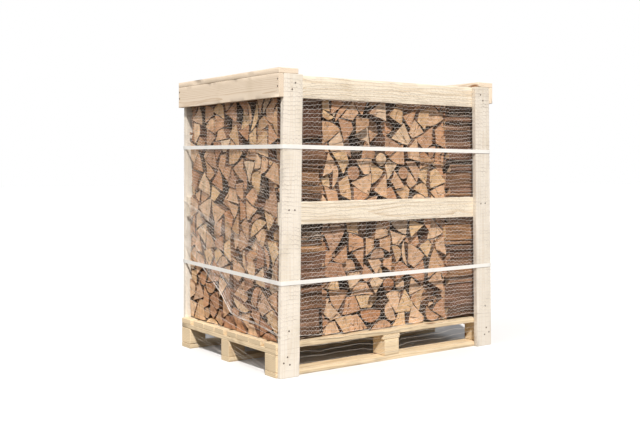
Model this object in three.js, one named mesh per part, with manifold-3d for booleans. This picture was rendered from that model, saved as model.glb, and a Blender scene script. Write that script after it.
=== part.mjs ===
// Firewood crate: a frame of sawn boards nailed on a four-way pallet, full of split logs, wrapped in
// knitted netting and tied round with two plastic straps.
// Millimetres, +Z up. X runs along the pallet's long side and Y into its depth. The origin is on the
// ground, under the middle of the crate.

import * as THREE from "three";
import { mergeVertices } from "three/addons/utils/BufferGeometryUtils.js";
import Module from "manifold-3d";

// ---- Driving dimensions -------------------------------------------------------------------------

const PALLET_LENGTH = 1200; // along X
const PALLET_WIDTH = 800; // along Y
const SKID_THICK = 20; // bottom boards, on the ground
const BLOCK_HEIGHT = 70;
const STRINGER_THICK = 20; // boards across the blocks, under the deck
const DECK_THICK = 22;
const BLOCK_LENGTH = 80; // along X, every block
const BLOCK_ROWS = [82, 66, 82]; // along Y: front, middle and back row, and the skid under each
const STRINGER_WIDTH = 92;
const DECK_WIDTHS = [86, 92, 92, 77, 77, 92, 92, 86]; // front to back
const DECK_GAPS = [28, 4, 6, 30, 6, 4, 28]; // the open joints between them

const BOARD_WIDTH = 92; // sawn frame board
const BOARD_THICK = 22;
const TOP_BOARD_WIDTH = 94;
const SIDE_BOARD_WIDTHS = { left: 95, right: 75 };
const OVERHANG = 12; // how far the side and top boards run past the back posts
const FRAME_TOP = 1205; // top of the posts and of the side boards
const MIDDLE_RAIL_TOP = 694;
const TOP_RAIL_DROP = 2; // how far the top rails stop below the posts' tops
// The posts are nailed a little out of plumb: how far along X each foot stands from under its top.
const FOOT = { front: { left: -16, right: 14 }, back: { left: -3, right: 3 } };

const LOG_LENGTH = 250;
const LOAD_TOP = 1150; // top of the stacked logs
const LOAD_CLEARANCE = 2; // between the logs and the plane of the posts' outer edges

const NET_THICK = 0.5;
const NET_STRAND = 10; // the knitting is far finer: these bands only give the net's skin and its reach
const NET_ROWS = 7;
const NET_COLUMNS = { front: 6, side: 4 };
const STRAP_THICK = 1;
const STRAP_WIDTH = 16.5;
const WRAP_CORNER = 0.8; // radius at which net and straps go round the posts' edges
const STRAPS = {
  // Height of the strap's middle at the crate's centre, and its rise per millimetre along X and Y.
  strap_upper: { height: 914, riseX: -0.0095, riseY: 0.0095 },
  strap_lower: { height: 384, riseX: 0, riseY: 0.0225 },
};

const GAP = 0.3; // left between pieces that touch
const ARRIS = 1; // broken edge of a sawn board
const CORNER_STEPS = 3; // facets round each corner of the net and the straps

// ---- Places worked out from them ----------------------------------------------------------------

const DEPTH = PALLET_WIDTH + 2 * BOARD_THICK; // the posts stand outside the pallet's long faces
const BLOCK_TOP = SKID_THICK + BLOCK_HEIGHT;
const STRINGER_TOP = BLOCK_TOP + STRINGER_THICK;
const DECK_TOP = STRINGER_TOP + DECK_THICK;
const CRATE_TOP = FRAME_TOP + BOARD_THICK;

const OUTER_X = PALLET_LENGTH / 2; // half the crate's length
const OUTER_Y = DEPTH / 2; // half its depth, over the posts
const PALLET_Y = PALLET_WIDTH / 2;
const POST_X = OUTER_X - BOARD_THICK; // the posts' outer edges, which the side boards cover
const RAIL_Y = PALLET_Y - BOARD_THICK; // inner face of the rails
const PLUMB_FROM = FRAME_TOP - SIDE_BOARD_WIDTHS.left; // height that the posts splay out below

// ---- Materials ----------------------------------------------------------------------------------

const timber = (name, color) => new THREE.MeshStandardMaterial({ name, color, roughness: 0.8, metalness: 0 });
const MATERIALS = {
  frame: timber("frame_timber", 0xf0dfc2),
  pallet: timber("pallet_timber", 0xe6cda5),
  logs: timber("split_logs", 0xb08a62),
  strap: new THREE.MeshStandardMaterial({ name: "strap", color: 0xf6f5f0, roughness: 0.35, metalness: 0 }),
  net: new THREE.MeshStandardMaterial({
    name: "net",
    color: 0xfafafa,
    roughness: 0.5,
    metalness: 0,
    transparent: true,
    opacity: 0.35,
  }),
};

// ---- Geometry -----------------------------------------------------------------------------------

/** A board's section: a rectangle about the origin with its four corners broken. */
function boardSection(width, height) {
  const x = width / 2;
  const y = height / 2;
  const points = [
    [x, y - ARRIS],
    [x - ARRIS, y],
    [ARRIS - x, y],
    [-x, y - ARRIS],
    [-x, ARRIS - y],
    [ARRIS - x, -y],
    [x - ARRIS, -y],
    [x, ARRIS - y],
  ];
  return new THREE.Shape(points.map((point) => new THREE.Vector2(...point)));
}

/** Draws a rectangle with round corners on a shape or on the path of a hole. */
function roundedRectangle(path, halfX, halfY, radius) {
  const x = halfX - radius;
  const y = halfY - radius;
  path.absarc(x, y, radius, 0, Math.PI / 2);
  path.absarc(-x, y, radius, Math.PI / 2, Math.PI);
  path.absarc(-x, -y, radius, Math.PI, Math.PI * 1.5);
  path.absarc(x, -y, radius, Math.PI * 1.5, Math.PI * 2);
  path.closePath();
  return path;
}

/** A box with broken edges, extruded along its longest side and sawn off square. */
function sawnBox(size) {
  const grain = size.indexOf(Math.max(...size));
  const [width, height] = [
    [size[2], size[1]],
    [size[0], size[2]],
    [size[0], size[1]],
  ][grain];
  const geometry = new THREE.ExtrudeGeometry(boardSection(width, height), {
    depth: size[grain],
    bevelEnabled: false,
  });
  geometry.translate(0, 0, -size[grain] / 2);
  if (grain === 0) geometry.rotateY(Math.PI / 2);
  if (grain === 1) geometry.rotateX(-Math.PI / 2);
  return geometry;
}

/** Moves points sideways as the splayed posts do: fully at a post, and in proportion between them. */
function splay(geometry) {
  const position = geometry.getAttribute("position");
  for (let i = 0; i < position.count; i += 1) {
    const [x, y, z] = [position.getX(i), position.getY(i), position.getZ(i)];
    const right = THREE.MathUtils.clamp((x / POST_X + 1) / 2, 0, 1);
    const back = THREE.MathUtils.clamp((y / OUTER_Y + 1) / 2, 0, 1);
    const front = THREE.MathUtils.lerp(FOOT.front.left, FOOT.front.right, right);
    const rear = THREE.MathUtils.lerp(FOOT.back.left, FOOT.back.right, right);
    position.setX(i, x + THREE.MathUtils.lerp(front, rear, back) * (1 - z / PLUMB_FROM));
  }
  geometry.computeVertexNormals();
  return geometry;
}

/** An upright wall of even thickness round the posts, `clear` outside them. */
function wrapWall(clear, thick, height) {
  const inside = [POST_X + clear, OUTER_Y + clear, WRAP_CORNER];
  const outside = inside.map((measure) => measure + thick);
  const outline = roundedRectangle(new THREE.Shape(), ...outside);
  outline.holes.push(roundedRectangle(new THREE.Path(), ...inside));
  return new THREE.ExtrudeGeometry(outline, {
    depth: height,
    bevelEnabled: false,
    curveSegments: CORNER_STEPS,
  });
}

// ---- Joining and cutting ------------------------------------------------------------------------

const wasm = await Module();
wasm.setup();

/** A closed geometry as a solid that can be cut. */
function toSolid(geometry) {
  const bare = geometry.clone();
  bare.deleteAttribute("normal");
  bare.deleteAttribute("uv");
  const merged = mergeVertices(bare, 1e-3);
  return new wasm.Manifold(
    new wasm.Mesh({
      numProp: 3,
      vertProperties: merged.attributes.position.array,
      triVerts: new Uint32Array(merged.index.array),
    }),
  );
}

/** A solid back as a geometry. */
function toGeometry(solid) {
  const mesh = solid.getMesh();
  return new THREE.BufferGeometry()
    .setAttribute("position", new THREE.BufferAttribute(mesh.vertProperties, 3))
    .setIndex(new THREE.BufferAttribute(mesh.triVerts, 1))
    .toNonIndexed();
}

// ---- Pieces -------------------------------------------------------------------------------------

function piece(name, geometry, material) {
  const mesh = new THREE.Mesh(geometry, material);
  mesh.name = name;
  if (!geometry.getAttribute("normal")) geometry.computeVertexNormals();
  return mesh;
}

/**
 * A sawn board between two corners, given as its low and high X, Y and Z. Each face that is inside the
 * crate's outline steps back by half the gap, so that boards which touch stay clear of each other.
 */
function board(name, spanX, spanY, spanZ, material) {
  const outlines = [
    [-OUTER_X, OUTER_X],
    [-OUTER_Y, OUTER_Y + OVERHANG],
    [0, CRATE_TOP],
  ];
  const spans = [spanX, spanY, spanZ].map(([low, high], axis) => [
    low > outlines[axis][0] ? low + GAP / 2 : low,
    high < outlines[axis][1] ? high - GAP / 2 : high,
  ]);
  const made = piece(name, sawnBox(spans.map(([low, high]) => high - low)), material);
  made.position.set(...spans.map(([low, high]) => (low + high) / 2));
  return made;
}

/** The low and high edges of a strip `width` wide, at the low side, middle or high side of a span. */
function strip(halfSpan, width, place) {
  const middle = place * (halfSpan - width / 2);
  return [middle - width / 2, middle + width / 2];
}

function makePallet() {
  const pallet = new THREE.Group();
  const rows = ["front", "middle", "back"];
  const columns = ["left", "middle", "right"];
  const whole = [-OUTER_X, OUTER_X];

  rows.forEach((row, i) => {
    const spanY = strip(PALLET_Y, BLOCK_ROWS[i], i - 1);
    pallet.add(board(`skid_${row}`, whole, spanY, [0, SKID_THICK], MATERIALS.pallet));
    columns.forEach((column, j) => {
      const spanX = strip(OUTER_X, BLOCK_LENGTH, j - 1);
      pallet.add(board(`block_${row}_${column}`, spanX, spanY, [SKID_THICK, BLOCK_TOP], MATERIALS.pallet));
    });
  });

  columns.forEach((column, j) => {
    const spanX = strip(OUTER_X, STRINGER_WIDTH, j - 1);
    const spanY = [-PALLET_Y, PALLET_Y];
    pallet.add(board(`stringer_${column}`, spanX, spanY, [BLOCK_TOP, STRINGER_TOP], MATERIALS.pallet));
  });

  let edge = -PALLET_Y;
  DECK_WIDTHS.forEach((width, i) => {
    const spanY = [edge, edge + width];
    pallet.add(board(`deck_board_${i + 1}`, whole, spanY, [STRINGER_TOP, DECK_TOP], MATERIALS.pallet));
    edge += width + (DECK_GAPS[i] ?? 0);
  });
  return pallet;
}

/** Leans an upright board along X, so that its foot stands `foot` away from under its top. */
function lean(upright, foot) {
  const slope = -foot / PLUMB_FROM;
  const shear = new THREE.Matrix4().set(1, 0, slope, 0, 0, 1, 0, 0, 0, 0, 1, 0, 0, 0, 0, 1);
  upright.geometry.applyMatrix4(shear);
  upright.position.x += foot + slope * upright.position.z;
  return upright;
}

function makeFrame() {
  const frame = new THREE.Group();
  const sides = [
    ["left", -1],
    ["right", 1],
  ];
  const faces = [
    ["front", -1],
    ["back", 1],
  ];
  const topRail = FRAME_TOP - TOP_RAIL_DROP;

  for (const [face, y] of faces) {
    for (const [side, x] of sides) {
      const post = board(
        `post_${face}_${side}`,
        strip(POST_X, BOARD_WIDTH, x),
        strip(OUTER_Y, BOARD_THICK, y),
        [0, FRAME_TOP],
        MATERIALS.frame,
      );
      frame.add(lean(post, FOOT[face][side]));
    }
    const rails = [
      ["top", topRail],
      ["middle", MIDDLE_RAIL_TOP],
    ];
    for (const [rail, top] of rails) {
      const spanY = strip(PALLET_Y, BOARD_THICK, y);
      const spanZ = [top - BOARD_WIDTH, top];
      frame.add(board(`rail_${face}_${rail}`, [-POST_X, POST_X], spanY, spanZ, MATERIALS.frame));
    }
  }

  for (const [side, x] of sides) {
    const whole = [-OUTER_Y, OUTER_Y + OVERHANG];
    const upright = [FRAME_TOP - SIDE_BOARD_WIDTHS[side], FRAME_TOP];
    frame.add(board(`side_board_${side}`, strip(OUTER_X, BOARD_THICK, x), whole, upright, MATERIALS.frame));
    const flat = [FRAME_TOP, CRATE_TOP];
    frame.add(board(`top_board_${side}`, strip(OUTER_X, TOP_BOARD_WIDTH, x), whole, flat, MATERIALS.frame));
  }
  return frame;
}

/** The logs, one solid for each stack: a column along each end, and three rows between them. */
function makeLoad() {
  const load = new THREE.Group();
  const end = POST_X - LOAD_CLEARANCE;
  const inner = end - LOG_LENGTH + LOAD_CLEARANCE * 3;
  const whole = [-RAIL_Y, RAIL_Y];
  const height = [DECK_TOP, LOAD_TOP];
  load.add(board("log_stack_left", [-end, -inner], whole, height, MATERIALS.logs));
  load.add(board("log_stack_right", [inner, end], whole, height, MATERIALS.logs));

  const rowDepth = (2 * RAIL_Y) / 3;
  ["front", "middle", "back"].forEach((row, i) => {
    const low = -RAIL_Y + i * rowDepth;
    load.add(board(`log_row_${row}`, [-inner, inner], [low, low + rowDepth], height, MATERIALS.logs));
  });
  return load;
}

/** Boxes that pierce the net's wall in rows, leaving its strands standing between two heights. */
function netWindows(face, bottom, top) {
  const half = face === "front" ? POST_X : OUTER_Y;
  const columns = NET_COLUMNS[face];
  const step = (2 * half - NET_STRAND) / columns;
  const pitch = (top - bottom - NET_STRAND) / NET_ROWS;
  const windows = [];
  for (let row = 0; row < NET_ROWS; row += 1) {
    for (let column = 0; column < columns; column += 1) {
      const box = new THREE.BoxGeometry(step - NET_STRAND, 2 * PALLET_LENGTH, pitch - NET_STRAND);
      box.translate((column + 0.5 - columns / 2) * step, 0, bottom + NET_STRAND / 2 + (row + 0.5) * pitch);
      if (face === "side") box.rotateZ(Math.PI / 2);
      windows.push(box);
    }
  }
  return windows;
}

/** The netting: a thin skin round the posts, from the deck up, cut away where the side boards lie. */
function makeNet() {
  const bottom = DECK_TOP + GAP;
  const top = FRAME_TOP - TOP_RAIL_DROP;
  const wall = wrapWall(GAP, NET_THICK, top - bottom).translate(0, 0, bottom);
  const reach = 2 * BOARD_THICK;
  const besideBoards = Object.entries(SIDE_BOARD_WIDTHS).map(([side, width]) => {
    const low = FRAME_TOP - width - GAP;
    const away = (side === "left" ? -1 : 1) * (POST_X - GAP + reach / 2);
    return new THREE.BoxGeometry(reach, 2 * DEPTH, FRAME_TOP).translate(away, 0, low + FRAME_TOP / 2);
  });
  const sideTop = FRAME_TOP - Math.max(...Object.values(SIDE_BOARD_WIDTHS)) - GAP;
  const windows = [...netWindows("front", bottom, top), ...netWindows("side", bottom, sideTop)];
  const cutters = [...besideBoards, ...windows];
  const solid = cutters.reduce((left, cutter) => left.subtract(toSolid(cutter)), toSolid(wall));
  return piece("net", splay(toGeometry(solid)), MATERIALS.net);
}

/** A strap: a flat band round the net, sheared so that it climbs a little along X and Y. */
function makeStrap(name, { height, riseX, riseY }) {
  const clear = GAP + NET_THICK + GAP;
  const band = wrapWall(clear, STRAP_THICK, STRAP_WIDTH);
  const climb = new THREE.Matrix4().set(1, 0, 0, 0, 0, 1, 0, 0, riseX, riseY, 1, 0, 0, 0, 0, 1);
  band.applyMatrix4(climb).translate(0, 0, height - STRAP_WIDTH / 2);
  return piece(name, splay(band), MATERIALS.strap);
}

const crate = new THREE.Group();
crate.add(makePallet(), makeFrame(), makeLoad(), makeNet());
for (const [name, run] of Object.entries(STRAPS)) crate.add(makeStrap(name, run));

// The straps stand proud at the front and the top boards at the back: the origin is midway.
const strapProud = GAP + NET_THICK + GAP + STRAP_THICK;
crate.position.y = (strapProud - OVERHANG) / 2;

export default crate;
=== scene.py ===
"""The looks of a firewood crate.

Split logs stacked in a frame of sawn boards on a four-way pallet, wrapped in knitted netting and tied
round with two plastic straps. Metres, +Z up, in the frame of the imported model: every place is worked
out from its nodes.
"""

from __future__ import annotations

import logging
import math
from dataclasses import dataclass, field
from enum import Enum
from typing import Any, Iterable, Sequence

import bpy
import numpy as np
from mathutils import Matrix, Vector

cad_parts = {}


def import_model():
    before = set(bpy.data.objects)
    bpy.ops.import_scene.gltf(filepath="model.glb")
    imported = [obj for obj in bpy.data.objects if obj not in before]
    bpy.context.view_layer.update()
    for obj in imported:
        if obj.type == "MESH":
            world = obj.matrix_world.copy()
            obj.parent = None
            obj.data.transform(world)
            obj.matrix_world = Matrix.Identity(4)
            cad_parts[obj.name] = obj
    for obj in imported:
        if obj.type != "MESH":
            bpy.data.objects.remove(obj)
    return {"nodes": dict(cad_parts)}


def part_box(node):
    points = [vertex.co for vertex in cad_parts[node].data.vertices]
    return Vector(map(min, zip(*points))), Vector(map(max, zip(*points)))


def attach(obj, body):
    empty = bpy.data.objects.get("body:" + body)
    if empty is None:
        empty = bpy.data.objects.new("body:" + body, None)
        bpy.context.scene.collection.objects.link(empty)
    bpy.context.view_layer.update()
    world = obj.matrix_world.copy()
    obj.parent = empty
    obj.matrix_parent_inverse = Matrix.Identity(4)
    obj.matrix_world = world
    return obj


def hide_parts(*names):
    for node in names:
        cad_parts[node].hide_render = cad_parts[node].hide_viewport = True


LOG = logging.getLogger("firewood_crate")
MM = 0.001
BODY = "root"
GRAIN = "grain"  # attribute: place in the wood, metres, along the grain and across it from the pith
TINT = "tint"  # attribute: chance values of the piece, and how near a point is to its bark

Array = np.ndarray


def linear(code: str) -> tuple[float, float, float, float]:
    """Turns an sRGB hex colour to linear light.

    Args:
        code: Six hex digits after a hash.

    Returns:
        Red, green and blue in linear light, and an alpha of 1.
    """
    parts = [int(code[i : i + 2], 16) / 255 for i in (1, 3, 5)]
    red, green, blue = (p / 12.92 if p <= 0.04045 else ((p + 0.055) / 1.055) ** 2.4 for p in parts)
    return red, green, blue, 1.0


def add_node(
    tree: bpy.types.NodeTree,
    kind: str,
    inputs: dict[Any, Any] | None = None,
    stops: Sequence[tuple[float, str]] = (),
    **settings: Any,
) -> bpy.types.Node:
    """Adds a node with its settings, values and links.

    Args:
        tree: The material's or the world's tree.
        kind: The node's class name, without its "ShaderNode" prefix.
        inputs: Socket names or numbers, each with a value or the socket that feeds it.
        stops: Places and hex colours along a colour ramp.
        **settings: The node's own properties.

    Returns:
        The new node.
    """
    node = tree.nodes.new("ShaderNode" + kind)
    for name, value in settings.items():
        setattr(node, name, value)
    if stops:
        ramp = node.color_ramp.elements
        ramp.remove(ramp[-1])
        ramp[0].position, ramp[0].color = stops[0][0], linear(stops[0][1])
        for place, code in stops[1:]:
            ramp.new(place).color = linear(code)
    for socket, value in (inputs or {}).items():
        if isinstance(value, bpy.types.NodeSocket):
            tree.links.new(value, node.inputs[socket])
        else:
            node.inputs[socket].default_value = value
    return node


@dataclass(frozen=True)
class PackedModel:
    """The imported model's nodes, which every size and place is worked out from."""

    nodes: dict[str, bpy.types.Object]

    def points(self, node: str) -> Array:
        """The corners of a node's mesh, in metres."""
        return np.array([vertex.co for vertex in self.nodes[node].data.vertices], float)


# ---- Finishes -----------------------------------------------------------------------------------


@dataclass(frozen=True)
class Finish:
    """What every finish has: a name, a shader and a way to start its tree."""

    name: str

    def material(self) -> bpy.types.Material:
        """Builds the material."""
        raise NotImplementedError

    def start(self) -> tuple[bpy.types.Material, bpy.types.NodeTree, bpy.types.Node]:
        """Makes an empty material.

        Returns:
            The material, its tree and its shader.
        """
        material = bpy.data.materials.new(self.name)
        material.use_nodes = True
        tree = material.node_tree
        return material, tree, tree.nodes["Principled BSDF"]


@dataclass(frozen=True)
class SawnSoftwood(Finish):
    """Pine or spruce straight from the band saw.

    The eye gets pale early wood with thin darker late-wood lines that run along a board and close into
    long arches, a few brown knots, fine saw scratches across the grain, and rings on the sawn ends.
    """

    early: str = "#f5e8d2"
    late: str = "#d3ba98"
    contrast: float = 1.0  # of the late wood
    knot: str = "#8a5f3a"
    stain: str = "#cdbb9c"
    ring_mm: float = 7.0  # growth rings, drawn coarser than the real 3 mm so that they show
    scratch_mm: float = 2.5  # tooth marks of the saw
    knot_gap_mm: float = 330.0

    def material(self) -> bpy.types.Material:
        """Builds the material."""
        material, tree, shader = self.start()
        place = add_node(tree, "Attribute", attribute_name=GRAIN).outputs["Vector"]
        tint = add_node(tree, "Attribute", attribute_name=TINT).outputs["Color"]
        chance = add_node(tree, "SeparateColor", {0: tint}).outputs
        # Knots: scattered points, stretched so that they are rare along a board.
        spread = add_node(
            tree, "Mapping", {0: place, "Scale": (1000 / self.knot_gap_mm, 9.0, 9.0)}
        ).outputs[0]
        knots = add_node(tree, "TexVoronoi", {"Vector": spread, "Scale": 1.0}).outputs["Distance"]
        knot = add_node(
            tree, "MapRange", {0: knots, 1: 0.15, 2: 0.06, 3: 0.0, 4: 1.0}, interpolation_type="SMOOTHSTEP"
        ).outputs[0]
        # Rings: distance from the pith, bent by slow noise and by the knots.
        slow = add_node(tree, "Mapping", {0: place, "Scale": (1.6, 14.0, 14.0)}).outputs[0]
        sway = add_node(tree, "TexNoise", {"Vector": slow, "Scale": 1.0, "Detail": 2.0}).outputs[0]
        across = add_node(tree, "SeparateXYZ", {0: place}).outputs
        flat = add_node(tree, "CombineXYZ", {1: across[1], 2: across[2]}).outputs[0]
        radius = add_node(tree, "VectorMath", {0: flat}, operation="LENGTH").outputs["Value"]
        bend = {0: sway, 1: 26 * MM, 2: radius}
        bent = add_node(tree, "Math", bend, operation="MULTIPLY_ADD").outputs[0]
        bent = add_node(tree, "Math", {0: knot, 1: 5 * MM, 2: bent}, operation="MULTIPLY_ADD").outputs[0]
        turns = add_node(tree, "Math", {0: bent, 1: 1000 / self.ring_mm}, operation="MULTIPLY").outputs[0]
        ring = add_node(tree, "Math", {0: turns}, operation="FRACT").outputs[0]
        late = add_node(
            tree, "MapRange", {0: ring, 1: 0.55, 2: 0.95, 3: 0.0, 4: 1.0}, interpolation_type="SMOOTHSTEP"
        ).outputs[0]
        # Fibres: noise drawn out along the grain.
        fine = add_node(tree, "Mapping", {0: place, "Scale": (12.0, 420.0, 420.0)}).outputs[0]
        fibre = add_node(tree, "TexNoise", {"Vector": fine, "Scale": 1.0, "Detail": 3.0}).outputs[0]
        frayed = add_node(tree, "Math", {0: late, 1: fibre}, operation="MULTIPLY").outputs[0]
        lines = add_node(tree, "Math", {0: frayed, 1: self.contrast}, operation="MULTIPLY").outputs[0]
        wide = add_node(tree, "TexNoise", {"Vector": place, "Scale": 5.0, "Detail": 3.0}).outputs[0]
        soiled = add_node(tree, "MapRange", {0: wide, 1: 0.52, 2: 0.75, 3: 0.0, 4: 0.45}).outputs[0]
        colour = add_node(
            tree, "Mix", {0: lines, 6: linear(self.early), 7: linear(self.late)}, data_type="RGBA"
        ).outputs[2]
        colour = add_node(
            tree, "Mix", {0: soiled, 6: colour, 7: linear(self.stain)}, data_type="RGBA"
        ).outputs[2]
        colour = add_node(
            tree, "Mix", {0: knot, 6: colour, 7: linear(self.knot)}, data_type="RGBA"
        ).outputs[2]
        bright = add_node(tree, "MapRange", {0: chance[0], 3: 0.90, 4: 1.03}).outputs[0]
        colour = add_node(tree, "HueSaturation", {"Value": bright, "Color": colour}).outputs[0]
        tree.links.new(colour, shader.inputs["Base Color"])
        # Saw scratches stand across the grain.
        wave = add_node(
            tree,
            "TexWave",
            {"Vector": place, "Scale": 1000 / self.scratch_mm / 20, "Distortion": 2.0, "Detail": 2.0},
        ).outputs["Fac"]
        rough = add_node(tree, "Math", {0: wave, 1: 0.35, 2: fibre}, operation="MULTIPLY_ADD").outputs[0]
        normal = add_node(
            tree, "Bump", {"Height": rough, "Strength": 0.35, "Distance": 0.8 * MM}
        ).outputs[0]
        tree.links.new(normal, shader.inputs["Normal"])
        shader.inputs["Roughness"].default_value = 0.78
        shader.inputs["Specular IOR Level"].default_value = 0.25
        return material


@dataclass(frozen=True)
class SawnEndGrain(Finish):
    """A log's cross-cut end, from a circular saw, left to dry.

    The eye gets rings round the pith, a darker heart in some logs, thin radial drying cracks painted
    dark with the shade inside them, straight saw marks and a dark rim where bark is left.
    """

    shades: tuple[str, ...] = ("#efcfab", "#cd9a74", "#e9c4a0", "#bd8e6e", "#edc99b", "#b28568", "#eed2b3")
    heart: str = "#a96f46"
    # colour of the painted shade inside the drying cracks
    shaded_crack: str = "#4a3122"
    rind: str = "#4c3829"
    ring_mm: float = 6.5  # growth rings, drawn coarser than the real 2 to 3 mm so that they show
    saw_mm: float = 7.0  # marks of the saw, drawn coarser than the real 3 mm

    def material(self) -> bpy.types.Material:
        """Builds the material."""
        material, tree, shader = self.start()
        place = add_node(tree, "Attribute", attribute_name=GRAIN).outputs["Vector"]
        tint = add_node(tree, "Attribute", attribute_name=TINT)
        chance = add_node(tree, "SeparateColor", {0: tint.outputs["Color"]}).outputs
        across = add_node(tree, "SeparateXYZ", {0: place}).outputs
        flat = add_node(tree, "CombineXYZ", {1: across[1], 2: across[2]}).outputs[0]
        radius = add_node(tree, "VectorMath", {0: flat}, operation="LENGTH").outputs["Value"]
        slow = add_node(tree, "TexNoise", {"Vector": place, "Scale": 22.0, "Detail": 2.0}).outputs[0]
        bent = add_node(tree, "Math", {0: slow, 1: 9 * MM, 2: radius}, operation="MULTIPLY_ADD").outputs[0]
        turns = add_node(tree, "Math", {0: bent, 1: 1000 / self.ring_mm}, operation="MULTIPLY").outputs[0]
        ring = add_node(tree, "Math", {0: turns}, operation="FRACT").outputs[0]
        # The seasoned colour of the log, from its own chance value.
        steps = [(i / (len(self.shades) - 1), shade) for i, shade in enumerate(self.shades)]
        colour = add_node(tree, "ValToRGB", {0: chance[0]}, stops=steps).outputs[0]
        heart_edge = add_node(tree, "MapRange", {0: chance[1], 3: -0.06, 4: 0.062}).outputs[0]
        inward = add_node(tree, "Math", {0: heart_edge, 1: bent}, operation="SUBTRACT").outputs[0]
        hearted = add_node(tree, "MapRange", {0: inward, 1: -0.004, 2: 0.008, 3: 0.0, 4: 0.5}).outputs[0]
        colour = add_node(
            tree, "Mix", {0: hearted, 6: colour, 7: linear(self.heart)}, data_type="RGBA"
        ).outputs[2]
        ringed = add_node(tree, "MapRange", {0: ring, 1: 0.5, 2: 1.0, 3: 0.0, 4: 0.30}).outputs[0]
        colour = add_node(
            tree, "Mix", {0: ringed, 6: colour, 7: linear(self.heart)}, data_type="RGBA"
        ).outputs[2]
        blotch = add_node(tree, "TexNoise", {"Vector": place, "Scale": 38.0, "Detail": 5.0}).outputs[0]
        value = add_node(tree, "MapRange", {0: blotch, 1: 0.3, 2: 0.7, 3: 0.72, 4: 1.16}).outputs[0]
        colour = add_node(tree, "HueSaturation", {"Value": value, "Color": colour}).outputs[0]
        # Cracks run out from the pith, so they are drawn in the angle round it. They are painted dark as
        # shade.
        angle = add_node(tree, "Math", {0: across[2], 1: across[1]}, operation="ARCTAN2").outputs[0]
        polar = add_node(tree, "CombineXYZ", {0: angle, 1: chance[0], 2: radius}).outputs[0]
        spread = add_node(tree, "Mapping", {0: polar, "Scale": (2.6, 31.0, 9.0)}).outputs[0]
        rays = add_node(tree, "TexNoise", {"Vector": spread, "Scale": 1.0, "Detail": 1.0}).outputs[0]
        off = add_node(tree, "Math", {0: rays, 1: 0.5}, operation="SUBTRACT").outputs[0]
        near = add_node(tree, "Math", {0: off}, operation="ABSOLUTE").outputs[0]
        shaded_crack = add_node(tree, "MapRange", {0: near, 1: 0.012, 2: 0.004, 3: 0.0, 4: 0.75}).outputs[0]
        # Painted shade: the cracks are darkened.
        colour = add_node(
            tree, "Mix", {0: shaded_crack, 6: colour, 7: linear(self.shaded_crack)}, data_type="RGBA"
        ).outputs[2]
        rim = add_node(tree, "MapRange", {0: chance[2], 1: 0.90, 2: 0.94, 3: 0.0, 4: 1.0}).outputs[0]
        colour = add_node(
            tree, "Mix", {0: rim, 6: colour, 7: linear(self.rind)}, data_type="RGBA"
        ).outputs[2]
        tree.links.new(colour, shader.inputs["Base Color"])
        turned = add_node(
            tree, "VectorRotate", {"Vector": place, "Axis": (1, 0, 0), "Angle": chance[1]}
        ).outputs[0]
        saw = add_node(
            tree,
            "TexWave",
            {"Vector": turned, "Scale": 1000 / self.saw_mm / 20, "Distortion": 3.0, "Detail": 3.0},
            bands_direction="Z",
        ).outputs["Fac"]
        deep = add_node(tree, "Math", {0: shaded_crack, 1: -2.0, 2: saw}, operation="MULTIPLY_ADD").outputs[0]
        height = add_node(tree, "Math", {0: blotch, 1: 0.8, 2: deep}, operation="MULTIPLY_ADD").outputs[0]
        normal = add_node(
            tree, "Bump", {"Height": height, "Strength": 0.6, "Distance": 1.2 * MM}
        ).outputs[0]
        tree.links.new(normal, shader.inputs["Normal"])
        shader.inputs["Roughness"].default_value = 0.85
        shader.inputs["Specular IOR Level"].default_value = 0.2
        return material


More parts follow.
